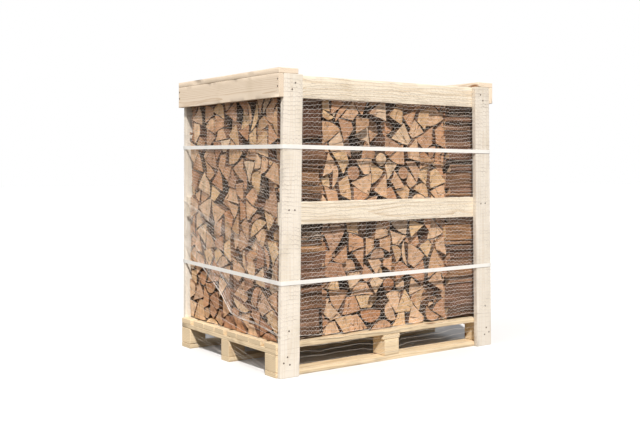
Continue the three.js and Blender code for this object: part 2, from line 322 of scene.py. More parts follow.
@dataclass(frozen=True)
class SplitHardwood(Finish):
    """A face torn open along the grain by a wedge.

    The eye gets long fibres and shallow steps along the log, in tan to grey-brown, with painted shade:
    dark streaks where the wood lies in its own shade, and the low steps darker than the high ones.
    """

    shades: tuple[str, ...] = ("#9a7560", "#75523f", "#aa8468", "#7e5d4a", "#bd8f66", "#68493a", "#9d7b64")
    # colour of the painted shade between the fibres
    shade_streak: str = "#513a2c"
    fibre_mm: float = 3.5  # width of a fibre bundle, drawn coarser than the real 1 mm

    def material(self) -> bpy.types.Material:
        """Builds the material."""
        material, tree, shader = self.start()
        place = add_node(tree, "Attribute", attribute_name=GRAIN).outputs["Vector"]
        tint = add_node(tree, "Attribute", attribute_name=TINT).outputs["Color"]
        chance = add_node(tree, "SeparateColor", {0: tint}).outputs
        steps = [(i / (len(self.shades) - 1), shade) for i, shade in enumerate(self.shades)]
        colour = add_node(tree, "ValToRGB", {0: chance[1]}, stops=steps).outputs[0]
        across = 1000 / self.fibre_mm
        drawn = add_node(tree, "Mapping", {0: place, "Scale": (9.0, across, across)}).outputs[0]
        fibre = add_node(
            tree, "TexNoise", {"Vector": drawn, "Scale": 1.0, "Detail": 4.0, "Roughness": 0.65}
        ).outputs[0]
        broad = add_node(tree, "Mapping", {0: place, "Scale": (5.0, 52.0, 52.0)}).outputs[0]
        step = add_node(tree, "TexNoise", {"Vector": broad, "Scale": 1.0, "Detail": 3.0}).outputs[0]
        # Painted shade: the fibres that lie low are darkened.
        dark = add_node(tree, "MapRange", {0: fibre, 1: 0.52, 2: 0.30, 3: 0.0, 4: 0.75}).outputs[0]
        colour = add_node(
            tree, "Mix", {0: dark, 6: colour, 7: linear(self.shade_streak)}, data_type="RGBA"
        ).outputs[2]
        # The tone changes from step to step, and the low steps are darker as painted shade.
        value = add_node(tree, "MapRange", {0: step, 1: 0.32, 2: 0.66, 3: 0.36, 4: 1.22}).outputs[0]
        colour = add_node(tree, "HueSaturation", {"Value": value, "Color": colour}).outputs[0]
        tree.links.new(colour, shader.inputs["Base Color"])
        height = add_node(tree, "Math", {0: step, 1: 2.5, 2: fibre}, operation="MULTIPLY_ADD").outputs[0]
        normal = add_node(
            tree, "Bump", {"Height": height, "Strength": 0.9, "Distance": 2.5 * MM}
        ).outputs[0]
        tree.links.new(normal, shader.inputs["Normal"])
        shader.inputs["Roughness"].default_value = 0.85
        shader.inputs["Specular IOR Level"].default_value = 0.2
        return material


@dataclass(frozen=True)
class FurrowedBark(Finish):
    """Dry bark of mixed hardwoods.

    The eye gets grey-brown plates between furrows that run along the log, painted dark with the shade
    that lies in them, and paler weathered patches on top.
    """

    shades: tuple[str, ...] = ("#7a5f4b", "#614838", "#8e7460", "#6f5544", "#99836d", "#5a4334")
    # colour of the painted shade in the furrows
    furrow_shade: str = "#392c24"
    bloom: str = "#a3978a"
    plate_mm: float = 11.0

    def material(self) -> bpy.types.Material:
        """Builds the material."""
        material, tree, shader = self.start()
        place = add_node(tree, "Attribute", attribute_name=GRAIN).outputs["Vector"]
        tint = add_node(tree, "Attribute", attribute_name=TINT).outputs["Color"]
        chance = add_node(tree, "SeparateColor", {0: tint}).outputs
        steps = [(i / (len(self.shades) - 1), shade) for i, shade in enumerate(self.shades)]
        colour = add_node(tree, "ValToRGB", {0: chance[1]}, stops=steps).outputs[0]
        across = 1000 / self.plate_mm
        drawn = add_node(tree, "Mapping", {0: place, "Scale": (across * 0.16, across, across)}).outputs[0]
        bend = add_node(tree, "TexNoise", {"Vector": drawn, "Scale": 0.8, "Detail": 3.0}).outputs["Color"]
        warped = add_node(
            tree, "VectorMath", {0: bend, 1: (0.9, 0.9, 0.9), 2: drawn}, operation="MULTIPLY_ADD"
        ).outputs[0]
        edge = add_node(
            tree, "TexVoronoi", {"Vector": warped, "Scale": 1.0}, feature="DISTANCE_TO_EDGE"
        ).outputs["Distance"]
        plate = add_node(
            tree, "MapRange", {0: edge, 1: 0.02, 2: 0.22, 3: 0.0, 4: 1.0}, interpolation_type="SMOOTHSTEP"
        ).outputs[0]
        grit = add_node(
            tree, "TexNoise", {"Vector": place, "Scale": 160.0, "Detail": 5.0, "Roughness": 0.7}
        ).outputs[0]
        weather = add_node(tree, "TexNoise", {"Vector": place, "Scale": 17.0, "Detail": 3.0}).outputs[0]
        pale = add_node(tree, "MapRange", {0: weather, 1: 0.48, 2: 0.68, 3: 0.0, 4: 0.7}).outputs[0]
        colour = add_node(
            tree, "Mix", {0: pale, 6: colour, 7: linear(self.bloom)}, data_type="RGBA"
        ).outputs[2]
        value = add_node(tree, "MapRange", {0: grit, 1: 0.3, 2: 0.7, 3: 0.7, 4: 1.25}).outputs[0]
        colour = add_node(tree, "HueSaturation", {"Value": value, "Color": colour}).outputs[0]
        # Painted shade: the furrows between the plates are darkened.
        colour = add_node(
            tree, "Mix", {0: plate, 6: linear(self.furrow_shade), 7: colour}, data_type="RGBA"
        ).outputs[2]
        tree.links.new(colour, shader.inputs["Base Color"])
        height = add_node(tree, "Math", {0: grit, 1: 0.35, 2: plate}, operation="MULTIPLY_ADD").outputs[0]
        normal = add_node(
            tree, "Bump", {"Height": height, "Strength": 0.9, "Distance": 3.0 * MM}
        ).outputs[0]
        tree.links.new(normal, shader.inputs["Normal"])
        shader.inputs["Roughness"].default_value = 0.9
        shader.inputs["Specular IOR Level"].default_value = 0.15
        return material


@dataclass(frozen=True)
class KnittedTape(Finish):
    """Polyethylene tape, knitted to a net: thin, milky white, with a soft shine."""

    colour: str = "#f3ede7"
    shade: str = "#beb3ab"

    def material(self) -> bpy.types.Material:
        """Builds the material."""
        material, tree, shader = self.start()
        place = add_node(tree, "Attribute", attribute_name=GRAIN).outputs["Vector"]
        cloud = add_node(tree, "TexNoise", {"Vector": place, "Scale": 24.0, "Detail": 3.0}).outputs[0]
        dull = add_node(tree, "MapRange", {0: cloud, 1: 0.38, 2: 0.66}).outputs[0]
        colour = add_node(
            tree, "Mix", {0: dull, 6: linear(self.colour), 7: linear(self.shade)}, data_type="RGBA"
        ).outputs[2]
        tree.links.new(colour, shader.inputs["Base Color"])
        shader.inputs["Roughness"].default_value = 0.45
        shader.inputs["Specular IOR Level"].default_value = 0.5
        return material


@dataclass(frozen=True)
class EmbossedStrap(Finish):
    """Polypropylene strap, extruded and rolled with a fine diamond pattern.

    The eye gets a bright white band with a soft shine that the pattern breaks up.
    """

    colour: str = "#fbfaf7"
    shade: str = "#e6e3de"
    diamond_mm: float = 3.0  # the embossing, drawn coarser than the real 1.5 mm

    def material(self) -> bpy.types.Material:
        """Builds the material."""
        material, tree, shader = self.start()
        place = add_node(tree, "Attribute", attribute_name=GRAIN).outputs["Vector"]
        scale = 1000 / self.diamond_mm / 20
        heights = []
        for turn in (math.pi / 4, -math.pi / 4):
            turned = add_node(
                tree, "VectorRotate", {"Vector": place, "Axis": (0, 0, 1), "Angle": turn}
            ).outputs[0]
            heights.append(add_node(tree, "TexWave", {"Vector": turned, "Scale": scale}).outputs["Fac"])
        weave = add_node(tree, "Math", {0: heights[0], 1: heights[1]}, operation="MAXIMUM").outputs[0]
        normal = add_node(tree, "Bump", {"Height": weave, "Strength": 0.4, "Distance": 0.4 * MM}).outputs[0]
        tree.links.new(normal, shader.inputs["Normal"])
        dust = add_node(tree, "TexNoise", {"Vector": place, "Scale": 14.0, "Detail": 4.0}).outputs[0]
        worn = add_node(tree, "MapRange", {0: dust, 1: 0.5, 2: 0.8, 3: 0.0, 4: 0.6}).outputs[0]
        colour = add_node(
            tree, "Mix", {0: worn, 6: linear(self.colour), 7: linear(self.shade)}, data_type="RGBA"
        ).outputs[2]
        tree.links.new(colour, shader.inputs["Base Color"])
        shader.inputs["Roughness"].default_value = 0.35
        return material


@dataclass(frozen=True)
class WireNailSteel(Finish):
    """The dull head of a wire nail: dark steel with a brown bloom of rust."""

    steel: str = "#7d7670"
    rust: str = "#6a4a35"

    def material(self) -> bpy.types.Material:
        """Builds the material."""
        material, tree, shader = self.start()
        place = add_node(tree, "Attribute", attribute_name=GRAIN).outputs["Vector"]
        bloom = add_node(tree, "TexNoise", {"Vector": place, "Scale": 260.0, "Detail": 3.0}).outputs[0]
        rusted = add_node(tree, "MapRange", {0: bloom, 1: 0.4, 2: 0.6}).outputs[0]
        colour = add_node(
            tree, "Mix", {0: rusted, 6: linear(self.steel), 7: linear(self.rust)}, data_type="RGBA"
        ).outputs[2]
        tree.links.new(colour, shader.inputs["Base Color"])
        shader.inputs["Metallic"].default_value = 0.6
        shader.inputs["Roughness"].default_value = 0.55
        return material


@dataclass(frozen=True)
class MattPaper(Finish):
    """A roll of matt studio paper laid out as the floor.

    The eye gets an even off-white with a trace of mottle, and the crate's own soft shadow. It throws
    little light back up, as if black cloth lay just outside the view.
    """

    colour: str = "#f0f1f4"
    mottle: str = "#eeeff2"
    bounce: str = "#6b6763"

    def material(self) -> bpy.types.Material:
        """Builds the material."""
        material, tree, shader = self.start()
        place = add_node(tree, "TexCoord").outputs["Object"]
        cloud = add_node(tree, "TexNoise", {"Vector": place, "Scale": 3.0, "Detail": 3.0}).outputs[0]
        colour = add_node(
            tree, "Mix", {0: cloud, 6: linear(self.colour), 7: linear(self.mottle)}, data_type="RGBA"
        ).outputs[2]
        tree.links.new(colour, shader.inputs["Base Color"])
        shader.inputs["Roughness"].default_value = 0.9
        dull = add_node(tree, "BsdfDiffuse", {"Color": linear(self.bounce)}).outputs[0]
        seen = add_node(tree, "LightPath").outputs["Is Camera Ray"]
        either = add_node(tree, "MixShader", {0: seen, 1: dull, 2: shader.outputs[0]}).outputs[0]
        tree.links.new(either, tree.nodes["Material Output"].inputs["Surface"])
        return material


# ---- Meshes -------------------------------------------------------------------------------------


@dataclass
class Shell:
    """Closed bodies gathered for one mesh, with where they lie in their material."""

    points: list[Array] = field(default_factory=list)
    faces: list[list[int]] = field(default_factory=list)
    slots: list[int] = field(default_factory=list)
    grain: list[Array] = field(default_factory=list)
    tint: list[Array] = field(default_factory=list)
    count: int = 0

    def loft(
        self,
        rings: Array,
        grain: Array,
        tint: Array,
        side_slots: Array | None = None,
        closed: bool = False,
    ) -> None:
        """Adds a body that runs through the given rings, with flat ends or as a hoop.

        Args:
            rings: Stations, points round each, and X, Y and Z; anticlockwise seen from the last ring.
            grain: The same shape: each point's place in the material.
            tint: Stations, points round each, and four values.
            side_slots: Material slot of each strip along the body; the ends always have slot 0.
            closed: Whether the last ring joins the first.
        """
        stations, around = rings.shape[:2]
        near = np.arange(around)
        far = (near + 1) % around
        strips = np.zeros(around, int) if side_slots is None else side_slots
        spans = stations if closed else stations - 1
        low = self.count + np.arange(spans)[:, None] * around
        high = self.count + (np.arange(1, spans + 1)[:, None] % stations) * around
        quads = np.stack([low + near, low + far, high + far, high + near], axis=2)
        self.faces.extend(quads.reshape(-1, 4).tolist())
        self.slots.extend(np.tile(strips, spans).tolist())
        for store, values, size in ((self.points, rings, 3), (self.grain, grain, 3), (self.tint, tint, 4)):
            store.append(values.reshape(-1, size))
        self.count += stations * around
        if closed:
            return
        ends = [0, stations - 1]
        middles = tint[ends].mean(axis=1)
        middles[:, 2] = 0.0
        self.points.append(rings[ends].mean(axis=1))
        self.grain.append(grain[ends].mean(axis=1))
        self.tint.append(middles)
        first = self.count - stations * around
        last = self.count - around
        front = np.stack([np.full(around, self.count), first + far, first + near], axis=1)
        back = np.stack([np.full(around, self.count + 1), last + near, last + far], axis=1)
        self.faces.extend(front.tolist() + back.tolist())
        self.slots.extend([0] * (2 * around))
        self.count += 2

    def build(
        self, name: str, materials: Iterable[bpy.types.Material], crease_degrees: float = 32.0
    ) -> bpy.types.Object:
        """Makes the mesh and its object.

        Args:
            name: The piece's name.
            materials: One for each slot.
            crease_degrees: Edges sharper than this stay sharp.

        Returns:
            The new object, in the scene.
        """
        mesh = bpy.data.meshes.new(name)
        mesh.from_pydata(np.concatenate(self.points).tolist(), [], self.faces)
        mesh.polygons.foreach_set("material_index", self.slots)
        grain = mesh.attributes.new(GRAIN, "FLOAT_VECTOR", "POINT")
        grain.data.foreach_set("vector", np.concatenate(self.grain).astype(np.float32).ravel())
        tint = mesh.attributes.new(TINT, "FLOAT_COLOR", "POINT")
        tint.data.foreach_set("color", np.concatenate(self.tint).astype(np.float32).ravel())
        for material in materials:
            mesh.materials.append(material)
        mesh.shade_smooth()
        mesh.set_sharp_from_angle(angle=math.radians(crease_degrees))
        piece = bpy.data.objects.new(name, mesh)
        bpy.context.scene.collection.objects.link(piece)
        return piece


def even_tint(shape: tuple[int, int], rng: np.random.Generator) -> Array:
    """Chance values that are the same all over a piece.

    Args:
        shape: Stations and points round each.
        rng: The source of chance.

    Returns:
        Four values a point; the third, nearness to bark, is 0.
    """
    values = rng.random(4)
    values[2] = 0.0
    return np.broadcast_to(values, (*shape, 4)).copy()


def slow_noise(rng: np.random.Generator, shape: tuple[int, int], knots: int) -> Array:
    """Slow chance along a body, different for each line round it.

    Args:
        rng: The source of chance.
        shape: Stations and lines.
        knots: How many free values lie along the body.

    Returns:
        Values of about -1 to 1.
    """
    stations, lines = shape
    free = rng.normal(0, 0.5, (knots, lines))
    where = np.linspace(0, knots - 1, stations)
    low = np.minimum(where.astype(int), knots - 2)
    share = (where - low)[:, None]
    share = share * share * (3 - 2 * share)
    return free[low] * (1 - share) + free[low + 1] * share


def finish_piece(piece: bpy.types.Object, slot: str, *nodes: str) -> bpy.types.Object:
    """Ties a piece to the body, hides the plain nodes that it stands for and logs its faces.

    Args:
        piece: The new object.
        slot: Not used.
        *nodes: The plain nodes that the piece stands for.

    Returns:
        The piece.
    """
    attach(piece, BODY)
    if nodes:
        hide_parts(*nodes)
    LOG.info("%s: %d faces", piece.name, len(piece.data.polygons))
    return piece


# ---- Timber -------------------------------------------------------------------------------------


@dataclass
class SawnBoard:
    """A board, block or skid of sawn softwood, in place of a plain node.

    Its faces lie a little inside the node's, as sawn timber's do, and its edges are worn and chipped.
    """

    model: PackedModel
    node: str
    seed: int
    grain_axis: int | None = None  # the axis that the grain runs along; the longest unless it is given
    edge: float = 1.5 * MM  # radius that the edges are worn to
    chip: float = 4.0 * MM  # deepest chip out of an edge
    hollow: float = 0.6 * MM  # unevenness of a sawn face
    station: float = 22 * MM
    lane: float = 15 * MM

    def section(self, width: float, thick: float) -> tuple[Array, Array, Array]:
        """Points round the section.

        Args:
            width: Size along the section's first axis.
            thick: Size along its second axis.

        Returns:
            The points, each one's outward direction, and how much of an edge it is, 0 to 1.
        """
        points: list[Array] = []
        outward: list[Array] = []
        worn: list[float] = []
        centres = [(1, 1), (-1, 1), (-1, -1), (1, -1)]
        middle = np.array([width / 2 - self.edge, thick / 2 - self.edge])
        for corner, signs in enumerate(centres):
            for part in range(3):
                angle = (corner + part / 2) * math.pi / 2
                away = np.array([math.cos(angle), math.sin(angle)])
                points.append(middle * signs + away * self.edge)
                outward.append(away)
                worn.append(1.0)
            start = points[-1]
            goal = middle * centres[(corner + 1) % 4] + outward[-1] * self.edge
            lanes = max(1, round(float(np.linalg.norm(goal - start)) / self.lane))
            for lane in range(1, lanes):
                points.append(start + (goal - start) * lane / lanes)
                outward.append(outward[-1])
                worn.append(0.0)
        return np.array(points), np.array(outward), np.array(worn)

    def add_to(self, shell: Shell) -> None:
        """Adds the board to a mesh."""
        rng = np.random.default_rng(self.seed)
        corners = self.model.points(self.node)
        size = np.ptp(corners, axis=0)
        axis = int(np.argmax(size)) if self.grain_axis is None else self.grain_axis
        first, second = [(1, 2), (2, 0), (0, 1)][axis]
        ends = []
        for limit in (corners[:, axis].min(), corners[:, axis].max()):
            near = corners[np.abs(corners[:, axis] - limit) < 0.2 * MM]
            ends.append((near.min(axis=0) + near.max(axis=0)) / 2)
            across = np.ptp(near, axis=0)
        outline, outward, worn = self.section(across[first], across[second])
        length = float(size[axis])
        stations = max(5, round(length / self.station))
        along = np.linspace(0, 1, stations)
        along[1], along[-2] = self.edge / length, 1 - self.edge / length
        shape = (stations, len(outline))
        inward = np.abs(slow_noise(rng, shape, max(3, stations // 4))) * self.hollow
        inward += np.clip(slow_noise(rng, shape, max(4, stations // 2)) - 0.6, 0, 1) * self.chip * worn
        inward[[0, -1]] += self.edge * 0.7
        section = outline - outward * inward[..., None]
        rings = np.zeros((*shape, 3))
        rings += (ends[0] + (ends[1] - ends[0]) * along[:, None])[:, None, :]
        rings[..., first] += section[..., 0]
        rings[..., second] += section[..., 1]
        # The pith lies outside most boards, at a slant, so that the rings close into long arches.
        narrow = min(across[first], across[second])
        wide = max(across[first], across[second])
        pith = np.array([rng.uniform(-0.35, 0.35) * wide, rng.uniform(0.7, 2.4) * narrow + narrow / 2])
        if across[first] < across[second]:
            pith = pith[::-1]
        pith *= rng.choice([-1, 1], 2)
        slant = rng.normal(0, 0.006, 2)
        grain = np.zeros_like(rings)
        grain[..., 0] = (along * length + rng.uniform(0, 40))[:, None]
        drift = pith + slant * ((along - 0.5) * length)[:, None]
        grain[..., 1:] = section - drift[:, None, :]
        shell.loft(rings, grain, even_tint(shape, rng))


@dataclass
class TimberSet:
    """Boards that share a finish, each a piece of its own."""

    model: PackedModel
    nodes: Sequence[str]
    slot: str
    material: bpy.types.Material
    seed: int
    grain_axis: int | None = None

    def build(self) -> None:
        """Builds and dresses every board."""
        for offset, node in enumerate(self.nodes):
            shell = Shell()
            SawnBoard(self.model, node, self.seed + offset, self.grain_axis).add_to(shell)
            finish_piece(shell.build(node + "_timber", [self.material]), self.slot, node)


@dataclass
class Pallet:
    """The four-way pallet: skids, blocks, stringers and deck boards."""

    model: PackedModel
    finish: SawnSoftwood

    def build(self) -> None:
        """Builds and dresses the pallet."""
        rows = ("front", "middle", "back")
        columns = ("left", "middle", "right")
        blocks = [f"block_{row}_{column}" for row in rows for column in columns]
        boards = [f"skid_{row}" for row in rows] + [f"stringer_{column}" for column in columns]
        boards += [f"deck_board_{i}" for i in range(1, 9)]
        material = self.finish.material()
        TimberSet(self.model, boards, "pallet_timber", material, 10).build()
        TimberSet(self.model, blocks, "pallet_timber", material, 50, grain_axis=0).build()


@dataclass
class CrateFrame:
    """The posts, rails, side boards and top boards."""

    model: PackedModel
    post_finish: SawnSoftwood
    rail_finish: SawnSoftwood
    board_finish: SawnSoftwood

    def build(self) -> None:
        """Builds and dresses the frame."""
        posts = [f"post_{face}_{side}" for face in ("front", "back") for side in ("left", "right")]
        rails = [f"rail_{face}_{level}" for face in ("front", "back") for level in ("top", "middle")]
        boards = [f"{kind}_board_{side}" for kind in ("side", "top") for side in ("left", "right")]
        TimberSet(self.model, posts, "frame_timber", self.post_finish.material(), 80).build()
        TimberSet(self.model, rails, "frame_timber", self.rail_finish.material(), 90).build()
        TimberSet(self.model, boards, "frame_timber", self.board_finish.material(), 94).build()


class Facing(Enum):
    """The way that a face of the crate looks."""

    FRONT = (0, -1)
    RIGHT = (1, 0)
    BACK = (0, 1)
    LEFT = (-1, 0)


@dataclass
class Nails:
    """Wire nails, driven flush into the boards."""

    model: PackedModel
    finish: WireNailSteel
    head: float = 3.6 * MM  # radius
    proud: float = 0.5 * MM
    sunk: float = 2.0 * MM
    sides: int = 14

    def places(self) -> list[tuple[Array, Array]]:
        """Where the nails are.

        Returns:
            The middle of each head, and the way that it looks.
        """
        spots: list[tuple[Array, Array]] = []
        for face in (Facing.FRONT, Facing.BACK):
            name = face.name.lower()
            out = np.array([*face.value, 0.0])
            for side, hand in (("left", -1), ("right", 1)):
                low, high = (np.array(corner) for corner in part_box(f"post_{name}_{side}"))
                plane = low[1] if face is Facing.FRONT else high[1]
                middle = (low[0] + high[0]) / 2
                rail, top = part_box(f"rail_{name}_middle")[1].z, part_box(f"rail_{name}_top")[1].z
                # Across from the post's middle, outwards, and up: rails, then block and skid.
                knocked = [(13, rail - 30 * MM), (-15, rail - 31 * MM), (-2, top - 60 * MM)]
                knocked += [(-18, top - 34 * MM), (13, 0.185), (20, 0.083), (38, 0.061), (9, 0.052)]
                for across, level in knocked:
                    spots.append((np.array([middle + hand * across * MM, plane, level]), out))
        for face in (Facing.LEFT, Facing.RIGHT):
            out = np.array([*face.value, 0.0])
            low, high = (np.array(corner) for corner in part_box(f"side_board_{face.name.lower()}"))
            plane = low[0] if face is Facing.LEFT else high[0]
            for end in (low[1] + 10 * MM, high[1] - 10 * MM):
                for level in (high[2] - 23 * MM, high[2] - 52 * MM):
                    spots.append((np.array([plane, end, level]), out))
        return spots

    def build(self) -> None:
        """Builds and dresses the nails as one piece."""
        shell = Shell()
        rng = np.random.default_rng(7)
        profile = [(-self.sunk, 0.5), (0.0, 1.0), (self.proud * 0.6, 1.0), (self.proud, 0.82)]
        turn = np.arange(self.sides) * 2 * math.pi / self.sides
        for spot, out in self.places():
            level = np.cross([0.0, 0.0, 1.0], out)
            disc = np.cos(turn)[:, None] * level + np.sin(turn)[:, None] * np.array([0.0, 0.0, 1.0])
            rings = np.array([spot + out * rise + disc * self.head * share for rise, share in profile])
            shell.loft(rings, rings.copy(), even_tint(rings.shape[:2], rng))
        finish_piece(shell.build("nail_heads", [self.finish.material()]), "nail")


# ---- Logs ---------------------------------------------------------------------------------------


class Cleft(Enum):
    """The ways a round is split for burning, with the share of each."""

    WEDGE = 0.36  # a slice from bark to pith
    HEARTLESS = 0.27  # a slice with its point split off
    HALF = 0.04  # half a thin round
    SLAB = 0.07  # an outer slab
    BILLET = 0.24  # an inner stick with no bark
    ROUND = 0.02  # a thin branch, not split


@dataclass
class LogSection:
    """The outline of a split log, about its tree's pith."""

    points: Array
    bark: Array  # for each point, whether the strip that starts there is bark

    @classmethod
    def draw(cls, kind: Cleft, rng: np.random.Generator) -> LogSection:
        """Draws a section by chance.

        Args:
            kind: How the log was split.
            rng: The source of chance.

        Returns:
            The section, in metres.
        """
        sizes = {  # least and most radius in millimetres and spread in radians, and what is split off
            Cleft.WEDGE: (88, 132, 0.7, 1.3, 0.0, 0.0),
            Cleft.HEARTLESS: (114, 156, 0.6, 1.0, 0.3, 0.5),
            Cleft.HALF: (44, 62, math.pi, math.pi, 0.0, 0.0),
            Cleft.SLAB: (70, 95, 1.5, 2.1, 0.0, 0.0),
            Cleft.BILLET: (86, 128, 0.75, 1.2, 0.25, 0.5),
            Cleft.ROUND: (24, 38, 2 * math.pi, 2 * math.pi, 0.0, 0.0),
        }
        least, most, narrow, wide, shallow, deep = sizes[kind]
        radius = rng.uniform(least, most)
        spread = rng.uniform(narrow, wide)
        inner = rng.uniform(shallow, deep)
        squash = rng.uniform(0.9, 1.1)
        whole = kind is Cleft.ROUND
        # A billet's outer side was split too, and the bark side of a large round is nearly straight.
        flat = {Cleft.BILLET: 1.0, Cleft.HEARTLESS: 0.65, Cleft.WEDGE: 0.45}.get(kind, 0.0)
        steps = max(4, round(spread * radius / 9))
        lumps = rng.normal(0, 0.012, 3)
        corners: list[tuple[float, float, bool]] = []
        for step in range(steps + (0 if whole else 1)):
            angle = spread * (step / steps - 0.5)
            bulge = 1 + sum(lump * math.sin((k + 2) * angle + k) for k, lump in enumerate(lumps))
            bulge *= 1 + flat * (math.cos(spread / 2) / math.cos(angle) - 1)
            x, y = radius * bulge * math.cos(angle), radius * bulge * math.sin(angle) * squash
            corners.append((x, y, kind is not Cleft.BILLET and (whole or step < steps)))
        if kind in (Cleft.WEDGE, Cleft.HEARTLESS, Cleft.BILLET):
            skew = rng.uniform(-0.12, 0.12)
            for angle in (spread / 2, -spread / 2) if inner else (0.0,):
                tip = inner * math.sin(angle) * squash + skew
                corners.append((radius * inner * math.cos(angle), radius * tip, False))
        return cls.with_even_steps(corners, rng)

    @classmethod
    def with_even_steps(
        cls, corners: list[tuple[float, float, bool]], rng: np.random.Generator, step: float = 13.0
    ) -> LogSection:
        """Fills the long straight sides with points that wander a little, as a split does.

        Args:
            corners: X and Y in millimetres, and whether bark starts there.
            rng: The source of chance.
            step: Distance between points, in millimetres.

        Returns:
            The section, in metres.
        """
        points: list[Array] = []
        bark: list[bool] = []
        for i, (*corner, is_bark) in enumerate(corners):
            start = np.array(corner)
            span = np.array(corners[(i + 1) % len(corners)][:2]) - start
            reach = float(np.linalg.norm(span))
            out = np.array([span[1], -span[0]]) / reach
            parts = max(1, round(reach / step))
            bow = rng.normal(0, 0.022) * reach
            for part in range(parts):
                share = part / parts
                lift = bow * math.sin(math.pi * share) + (rng.normal(0, 0.6) if part else 0.0)
                points.append(start + span * share + out * lift)
                bark.append(is_bark)
        return cls(np.array(points) * MM, np.array(bark))

    def turned(self, angle: float) -> Array:
        """The outline, turned about the pith."""
        cosine, sine = math.cos(angle), math.sin(angle)
        return self.points @ np.array([[cosine, sine], [-sine, cosine]])


@dataclass
class LaidLog:
    """A log in its place in a stack's end plane."""

    section: LogSection
    outline: Array  # turned and moved
    sunk: float = 0.0  # how much further back its end stands than its neighbours'


@dataclass
class Stacker:
    """Lays split logs one on another in the end plane of a stack, each where it leaves least air."""

    width: float
    height: float
    seed: int
    column: float = 3.0 * MM
    gap: float = 1.0 * MM
    tries: int = 5
    turns: int = 12
    flatness: float = 15.0  # how much a log that lies low is liked, per metre
    slit: float = 36 * MM  # a gap beside a wall narrower than this can't be filled
    skyline: Array = field(init=False)
    dread: Array = field(init=False)  # how much air is disliked: most beside the walls

    def __post_init__(self) -> None:
        """Starts with an empty deck."""
        count = int(self.width / self.column)
        self.skyline = np.zeros(count)
        from_wall = np.minimum(np.arange(count), np.arange(count)[::-1]) * self.column
        self.dread = 1 + 2.5 * np.exp(-from_wall / (30 * MM))

    def profile(self, outline: Array) -> tuple[Array, Array, float]:
        """The lower and upper edges of an outline, column by column.

        Args:
            outline: Points round the section.

        Returns:
            The lowest and highest point in each column, and the outline's left end.
        """
        left = outline[:, 0].min() - self.gap
        columns = int(math.ceil((outline[:, 0].max() + self.gap - left) / self.column))
        steps = np.linspace(0, 1, 8, endpoint=False)[:, None, None]
        dense = (outline + (np.roll(outline, -1, axis=0) - outline) * steps).reshape(-1, 2)
        index = np.clip(((dense[:, 0] - left) / self.column).astype(int), 0, columns - 1)
        low = np.full(columns, np.inf)
        high = np.full(columns, -np.inf)
        np.minimum.at(low, index, dense[:, 1])
        np.maximum.at(high, index, dense[:, 1])
        filled = np.isfinite(low)
        every = np.arange(columns)
        low = np.interp(every, every[filled], low[filled])
        high = np.interp(every, every[filled], high[filled])
        return low - self.gap, high + self.gap, left

    def fit(self, outline: Array, lowest: int) -> tuple[float, int, float, Array, Array] | None:
        """Finds the best place for an outline over the lowest part of the stack.

        Args:
            outline: The turned section.
            lowest: The column to cover.

        Returns:
            A score, the first column, how far the outline moves to get there and its upper edge, or
            None if it won't go.
        """
        low, high, left = self.profile(outline)
        count = len(low)
        last = min(len(self.skyline) - count, lowest - 1)
        first = min(max(0, lowest - count + 2), last)
        if first < 0:
            return None
        window = np.lib.stride_tricks.sliding_window_view
        ground = window(self.skyline, count)[first : last + 1]
        weight = window(self.dread, count)[first : last + 1]
        rest = (ground - low).max(axis=1)
        air = ((rest[:, None] + low - ground) * weight).sum(axis=1) / (high - low).sum()
        top = rest + high.max()
        balance = ((high + low) * (high - low)).sum() / (high - low).sum() / 2
        score = air + self.flatness * (rest + balance - self.skyline.min())
        start = np.arange(first, last + 1)
        for space in (start, len(self.skyline) - count - start):  # no slit is left beside a wall
            score += np.where((space > 1) & (space * self.column < self.slit), 0.8, 0.0)
        score[top > self.height] = np.inf
        pick = int(np.argmin(score))
        if not np.isfinite(score[pick]):
            return None
        shift = np.array([(first + pick) * self.column - left, rest[pick]])
        return float(score[pick]), first + pick, float(rest[pick]), shift, high

    def lay(self) -> list[LaidLog]:
        """Fills the stack.

        Returns:
            The logs from the bottom up.
        """
        rng = np.random.default_rng(self.seed)
        kinds = list(Cleft)
        shares = np.array([kind.value for kind in kinds])
        laid: list[LaidLog] = []
        while self.skyline.min() < self.height - 24 * MM:
            lowest = int(np.argmin(self.skyline + rng.uniform(0, 5 * MM, len(self.skyline))))
            best = None
            for _ in range(self.tries):
                section = LogSection.draw(kinds[rng.choice(len(kinds), p=shares / shares.sum())], rng)
                start = rng.uniform(0, 2 * math.pi)
                for turn in range(self.turns):
                    outline = section.turned(start + turn * 2 * math.pi / self.turns)
                    found = self.fit(outline, lowest)
                    if found and (best is None or found[0] < best[0][0]):
                        best = (found, section, outline)
            if best is None:  # too narrow a hole for any log: it stays open
                hole = slice(max(0, lowest - 5), lowest + 6)
                self.skyline[hole] += 12 * MM
                continue
            (_, first, rest, shift, high), section, outline = best
            laid.append(LaidLog(section, outline + shift))
            span = slice(first, first + len(high))
            self.skyline[span] = np.maximum(self.skyline[span], rest + high)
        return laid


